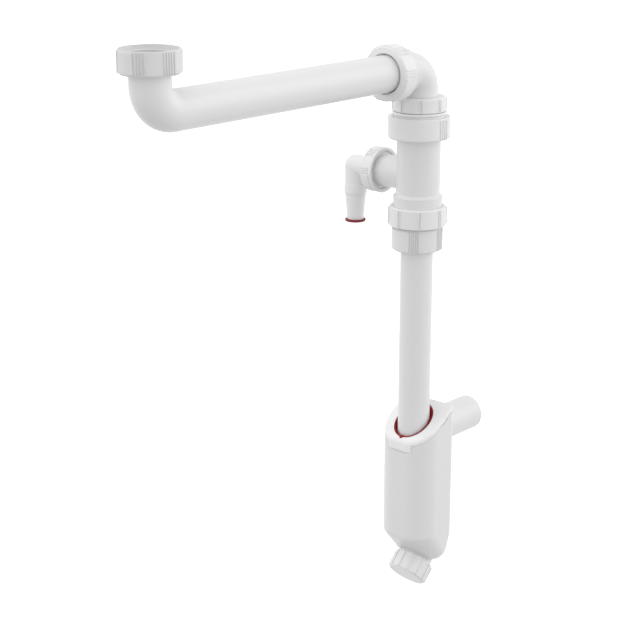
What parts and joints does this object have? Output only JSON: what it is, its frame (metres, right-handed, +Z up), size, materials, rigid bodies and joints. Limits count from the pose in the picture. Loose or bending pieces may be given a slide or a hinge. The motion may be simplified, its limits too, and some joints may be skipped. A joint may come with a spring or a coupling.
{
  "type": "space saving sink trap",
  "caption": "Sink trap for tight cupboards: a long swivelling inlet arm, a tee with a capped hose elbow, a telescopic down pipe and a narrow trap with a cleaning cap.",
  "frame": {"origin": "centre of the sink nut's mouth, where the sink waste's thread enters", "axes": "+Z up into the sink, +X from the sink to the down pipe and on along the outlet, +Y to the side where the hose branch points"},
  "size_m": [0.5342, 0.1382, 0.6736],
  "materials": {
    "white_plastic": "satin",
    "grey_rubber": "matte",
    "red_rubber": "matte",
    "red_plastic": "matte"
  },
  "bodies": {
    "coupling": {"sink_coupling_nut": "white_plastic"},
    "arm": {"inlet_arm": "white_plastic", "sink_washer": "grey_rubber"},
    "arm_collar": {"arm_slip_ring": "white_plastic", "arm_seal": "grey_rubber"},
    "bend": {"bend": "white_plastic"},
    "arm_nut": {"arm_nut": "white_plastic"},
    "adaptor": {"top_adaptor": "white_plastic", "bend_slip_ring": "white_plastic", "bend_seal": "grey_rubber"},
    "bend_nut": {"bend_nut": "white_plastic"},
    "tee": {"tee": "white_plastic", "top_union_washer": "grey_rubber"},
    "top_union_nut": {"top_union_nut": "white_plastic"},
    "branch_nut": {"branch_nut": "white_plastic"},
    "hose_elbow": {"hose_elbow": "white_plastic", "branch_washer": "grey_rubber"},
    "spigot_cap": {"spigot_cap": "red_plastic"},
    "bottom_union_nut": {"bottom_union_nut": "white_plastic"},
    "reducer": {"reducer": "white_plastic", "bottom_union_washer": "grey_rubber"},
    "pipe_nut": {"pipe_nut": "white_plastic"},
    "pipe_collar": {"pipe_slip_ring": "white_plastic", "pipe_nut_seal": "grey_rubber"},
    "pipe": {"down_pipe": "white_plastic"},
    "trap": {"trap_body": "white_plastic", "trap_lid": "white_plastic", "pipe_seal": "red_rubber"},
    "cleaning_cap": {"cleaning_cap": "white_plastic", "cleaning_seal": "grey_rubber"}
  },
  "joints": [
    {"name": "arm_swivel", "type": "hinge", "parent": "coupling", "child": "arm", "pos_m": [0, 0, 0], "axis": [0, 0, 1], "continuous": true},
    {"name": "bend_slide", "type": "slide", "parent": "arm", "child": "arm_collar", "axis": [1, 0, 0], "range_m": [0, 0.015]},
    {"name": "bend_swivel", "type": "hinge", "parent": "arm_collar", "child": "bend", "pos_m": [0.398, 0, -0.06], "axis": [1, 0, 0], "continuous": true},
    {"name": "arm_nut_turn", "type": "hinge", "parent": "bend", "child": "arm_nut", "pos_m": [0.398, 0, -0.06], "axis": [1, 0, 0], "continuous": true},
    {"name": "adaptor_swivel", "type": "hinge", "parent": "bend", "child": "adaptor", "pos_m": [0.398, 0, -0.06], "axis": [0, 0, 1], "continuous": true},
    {"name": "bend_nut_turn", "type": "hinge", "parent": "adaptor", "child": "bend_nut", "pos_m": [0.398, 0, -0.06], "axis": [0, 0, 1], "continuous": true},
    {"name": "tee_swivel", "type": "hinge", "parent": "adaptor", "child": "tee", "pos_m": [0.398, 0, -0.06], "axis": [0, 0, 1], "continuous": true},
    {"name": "top_union_turn", "type": "hinge", "parent": "tee", "child": "top_union_nut", "pos_m": [0.398, 0, -0.06], "axis": [0, 0, 1], "continuous": true},
    {"name": "branch_nut_turn", "type": "hinge", "parent": "tee", "child": "branch_nut", "pos_m": [0.398, 0, -0.1789], "axis": [0, 1, 0], "continuous": true},
    {"name": "hose_swivel", "type": "hinge", "parent": "tee", "child": "hose_elbow", "pos_m": [0.398, 0, -0.1789], "axis": [0, 1, 0], "continuous": true},
    {"name": "cap_pull", "type": "slide", "parent": "hose_elbow", "child": "spigot_cap", "axis": [0, 0, -1], "range_m": [0, 0.012]},
    {"name": "bottom_union_turn", "type": "hinge", "parent": "tee", "child": "bottom_union_nut", "pos_m": [0.398, 0, -0.06], "axis": [0, 0, 1], "continuous": true},
    {"name": "reducer_swivel", "type": "hinge", "parent": "tee", "child": "reducer", "pos_m": [0.398, 0, -0.06], "axis": [0, 0, 1], "continuous": true},
    {"name": "pipe_nut_turn", "type": "hinge", "parent": "reducer", "child": "pipe_nut", "pos_m": [0.398, 0, -0.06], "axis": [0, 0, 1], "continuous": true},
    {"name": "pipe_swivel", "type": "hinge", "parent": "reducer", "child": "pipe_collar", "pos_m": [0.398, 0, -0.06], "axis": [0, 0, 1], "continuous": true},
    {"name": "pipe_slide", "type": "slide", "parent": "pipe_collar", "child": "pipe", "axis": [0, 0, 1], "range_m": [-0.015, 0.04]},
    {"name": "trap_slide", "type": "slide", "parent": "pipe", "child": "trap", "axis": [0, 0, 1], "range_m": [-0.05, 0.01]},
    {"name": "cleaning_cap_turn", "type": "hinge", "parent": "trap", "child": "cleaning_cap", "pos_m": [0.407, 0, -0.6399], "axis": [-0.7071, 0, -0.7071], "continuous": true}
  ]
}
